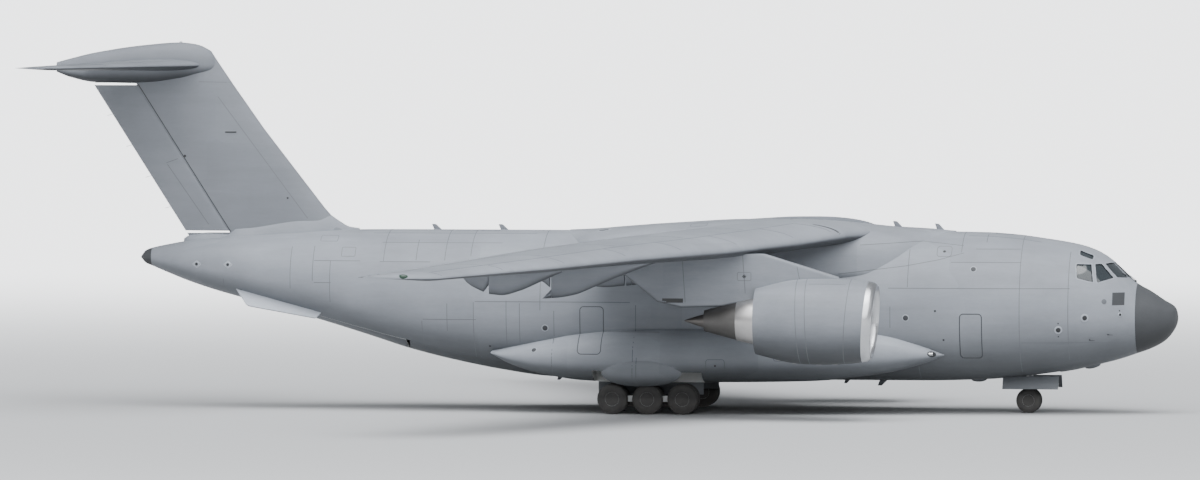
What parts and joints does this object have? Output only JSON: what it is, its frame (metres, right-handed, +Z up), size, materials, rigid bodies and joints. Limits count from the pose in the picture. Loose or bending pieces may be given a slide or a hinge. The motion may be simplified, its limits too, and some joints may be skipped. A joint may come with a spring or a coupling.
{
  "type": "half-scale model of a military transport plane",
  "caption": "High-wing, T-tail military transport plane with under-wing jet engines, hollow cargo hold, lowering ramp and moving flight surfaces, parked on its landing gear.",
  "frame": {"origin": "on the ground, under the middle of the plane's box", "axes": "+X towards the nose, +Y to the plane's left, +Z up"},
  "size_m": [21.949, 22.2, 7.1],
  "materials": {
    "body_grey": "satin",
    "radome_grey": "matte",
    "deck_grey": "matte",
    "window_glass": "gloss",
    "gear_white": "satin",
    "tyre_rubber": "matte",
    "hot_metal": "satin",
    "blade_metal": "satin"
  },
  "bodies": {
    "airframe": {"aft_fuselage": "body_grey", "cargo_floor": "deck_grey", "centre_fuselage": "body_grey", "cockpit_glazing": "window_glass", "engine_core_left": "hot_metal", "engine_core_right": "hot_metal", "fin": "body_grey", "flight_deck": "deck_grey", "forward_fuselage": "body_grey", "jump_door_left": "body_grey", "jump_door_right": "body_grey", "main_gear_door_left": "body_grey", "main_gear_door_right": "body_grey", "main_gear_left": "gear_white", "main_gear_right": "gear_white", "nacelle_left": "body_grey", "nacelle_right": "body_grey", "nose_gear_door_left": "body_grey", "nose_gear_door_right": "body_grey", "nose_gear_leg": "gear_white", "nose_gear_well": "gear_white", "pylon_left": "body_grey", "pylon_right": "body_grey", "radome": "radome_grey", "sponson_left": "body_grey", "sponson_right": "body_grey", "tail_cap": "radome_grey", "tail_strake_left": "body_grey", "tail_strake_right": "body_grey", "tailplane_left": "body_grey", "tailplane_right": "body_grey", "wing_fairing": "body_grey", "wing_left": "body_grey", "wing_right": "body_grey"},
    "crew_door_left": {"crew_door_left": "body_grey"},
    "crew_door_right": {"crew_door_right": "body_grey"},
    "cargo_ramp": {"cargo_ramp": "body_grey"},
    "aft_cargo_door": {"aft_cargo_door": "body_grey"},
    "flap_inboard_left": {"flap_inboard_left": "body_grey"},
    "flap_inboard_right": {"flap_inboard_right": "body_grey"},
    "flap_outboard_left": {"flap_outboard_left": "body_grey"},
    "flap_outboard_right": {"flap_outboard_right": "body_grey"},
    "aileron_left": {"aileron_left": "body_grey"},
    "aileron_right": {"aileron_right": "body_grey"},
    "spoiler_left": {"spoiler_left": "body_grey"},
    "spoiler_right": {"spoiler_right": "body_grey"},
    "fan_left": {"fan_left": "blade_metal"},
    "fan_right": {"fan_right": "blade_metal"},
    "rudder": {"rudder": "body_grey"},
    "elevator_left": {"elevator_left": "body_grey"},
    "elevator_right": {"elevator_right": "body_grey"},
    "nose_gear_fork": {"nose_gear_fork": "gear_white"},
    "nose_wheels": {"nose_wheels": "tyre_rubber"},
    "main_wheels_left_front": {"main_wheels_left_front": "tyre_rubber"},
    "main_wheels_left_middle": {"main_wheels_left_middle": "tyre_rubber"},
    "main_wheels_left_rear": {"main_wheels_left_rear": "tyre_rubber"},
    "main_wheels_right_front": {"main_wheels_right_front": "tyre_rubber"},
    "main_wheels_right_middle": {"main_wheels_right_middle": "tyre_rubber"},
    "main_wheels_right_rear": {"main_wheels_right_rear": "tyre_rubber"}
  },
  "joints": [
    {"name": "main_wheels_left_front_spin", "type": "hinge", "parent": "airframe", "child": "main_wheels_left_front", "pos_m": [1.58, 1.5, 0.2925], "axis": [0, 1, 0], "continuous": true},
    {"name": "main_wheels_left_middle_spin", "type": "hinge", "parent": "airframe", "child": "main_wheels_left_middle", "pos_m": [0.9, 1.5, 0.2925], "axis": [0, 1, 0], "continuous": true},
    {"name": "main_wheels_left_rear_spin", "type": "hinge", "parent": "airframe", "child": "main_wheels_left_rear", "pos_m": [0.22, 1.5, 0.2925], "axis": [0, 1, 0], "continuous": true},
    {"name": "main_wheels_right_front_spin", "type": "hinge", "parent": "airframe", "child": "main_wheels_right_front", "pos_m": [1.58, -1.5, 0.2925], "axis": [0, 1, 0], "continuous": true},
    {"name": "main_wheels_right_middle_spin", "type": "hinge", "parent": "airframe", "child": "main_wheels_right_middle", "pos_m": [0.9, -1.5, 0.2925], "axis": [0, 1, 0], "continuous": true},
    {"name": "main_wheels_right_rear_spin", "type": "hinge", "parent": "airframe", "child": "main_wheels_right_rear", "pos_m": [0.22, -1.5, 0.2925], "axis": [0, 1, 0], "continuous": true},
    {"name": "nose_steering", "type": "hinge", "parent": "airframe", "child": "nose_gear_fork", "pos_m": [8.1, 0, 0.4], "axis": [0, 0, 1], "range_deg": [-60, 60]},
    {"name": "nose_wheels_spin", "type": "hinge", "parent": "nose_gear_fork", "child": "nose_wheels", "pos_m": [8.1, 0, 0.24], "axis": [0, 1, 0], "continuous": true},
    {"name": "fan_left_spin", "type": "hinge", "parent": "airframe", "child": "fan_left", "pos_m": [4.86, 3.65, 1.89], "axis": [1, 0, 0], "continuous": true},
    {"name": "fan_right_spin", "type": "hinge", "parent": "airframe", "child": "fan_right", "pos_m": [4.86, -3.65, 1.89], "axis": [1, 0, 0], "continuous": true},
    {"name": "rudder_hinge", "type": "hinge", "parent": "airframe", "child": "rudder", "pos_m": [-7.57918, 0, 3.435], "axis": [-0.5378, 0, 0.8431], "range_deg": [-25, 25]},
    {"name": "elevator_left_hinge", "type": "hinge", "parent": "airframe", "child": "elevator_left", "pos_m": [-9.72754, 0.42, 6.66016], "axis": [-0.2542, 0.9671, 0.0013], "range_deg": [-20, 25]},
    {"name": "aileron_left_hinge", "type": "hinge", "parent": "airframe", "child": "aileron_left", "pos_m": [-1.56682, 8.2, 3.11643], "axis": [-0.3957, 0.9174, -0.0425], "range_deg": [-20, 20]},
    {"name": "spoiler_left_hinge", "type": "hinge", "parent": "airframe", "child": "spoiler_left", "pos_m": [0.55091, 4.5, 3.46991], "axis": [-0.4332, 0.8996, -0.055], "range_deg": [0, 50]},
    {"name": "flap_inboard_left_hinge", "type": "hinge", "parent": "airframe", "child": "flap_inboard_left", "pos_m": [0.94, 1.5, 2.48], "axis": [0.315, -0.9486, -0.029], "range_deg": [0, 35]},
    {"name": "flap_outboard_left_hinge", "type": "hinge", "parent": "airframe", "child": "flap_outboard_left", "pos_m": [0.11, 4.3, 2.36], "axis": [0.3832, -0.9186, -0.0964], "range_deg": [0, 35]},
    {"name": "crew_door_left_hinge", "type": "hinge", "parent": "airframe", "child": "crew_door_left", "pos_m": [7.105, 1.18, 1.098], "axis": [-1, 0, 0], "range_deg": [0, 100]},
    {"name": "elevator_right_hinge", "type": "hinge", "parent": "airframe", "child": "elevator_right", "pos_m": [-9.72754, -0.42, 6.66016], "axis": [0.2542, 0.9671, -0.0013], "range_deg": [-20, 25]},
    {"name": "aileron_right_hinge", "type": "hinge", "parent": "airframe", "child": "aileron_right", "pos_m": [-1.56682, -8.2, 3.11643], "axis": [0.3957, 0.9174, 0.0425], "range_deg": [-20, 20]},
    {"name": "spoiler_right_hinge", "type": "hinge", "parent": "airframe", "child": "spoiler_right", "pos_m": [0.55091, -4.5, 3.46991], "axis": [0.4332, 0.8996, 0.055], "range_deg": [0, 50]},
    {"name": "flap_inboard_right_hinge", "type": "hinge", "parent": "airframe", "child": "flap_inboard_right", "pos_m": [0.94, -1.5, 2.48], "axis": [-0.315, -0.9486, 0.029], "range_deg": [0, 35]},
    {"name": "flap_outboard_right_hinge", "type": "hinge", "parent": "airframe", "child": "flap_outboard_right", "pos_m": [0.11, -4.3, 2.36], "axis": [-0.3832, -0.9186, 0.0964], "range_deg": [0, 35]},
    {"name": "crew_door_right_hinge", "type": "hinge", "parent": "airframe", "child": "crew_door_right", "pos_m": [7.105, -1.18, 1.098], "axis": [1, 0, 0], "range_deg": [0, 100]},
    {"name": "cargo_ramp_hinge", "type": "hinge", "parent": "airframe", "child": "cargo_ramp", "pos_m": [-1.245, 0, 0.66], "axis": [0, -1, 0], "range_deg": [0, 24]},
    {"name": "aft_cargo_door_hinge", "type": "hinge", "parent": "airframe", "child": "aft_cargo_door", "pos_m": [-7.03, 0, 2.2], "axis": [0, -1, 0], "range_deg": [0, 25]}
  ],
  "couplings": [
    {"joint": "flap_outboard_left_hinge", "follows": "flap_inboard_left_hinge", "ratio": 1},
    {"joint": "flap_inboard_right_hinge", "follows": "flap_inboard_left_hinge", "ratio": 1},
    {"joint": "flap_outboard_right_hinge", "follows": "flap_inboard_left_hinge", "ratio": 1}
  ]
}
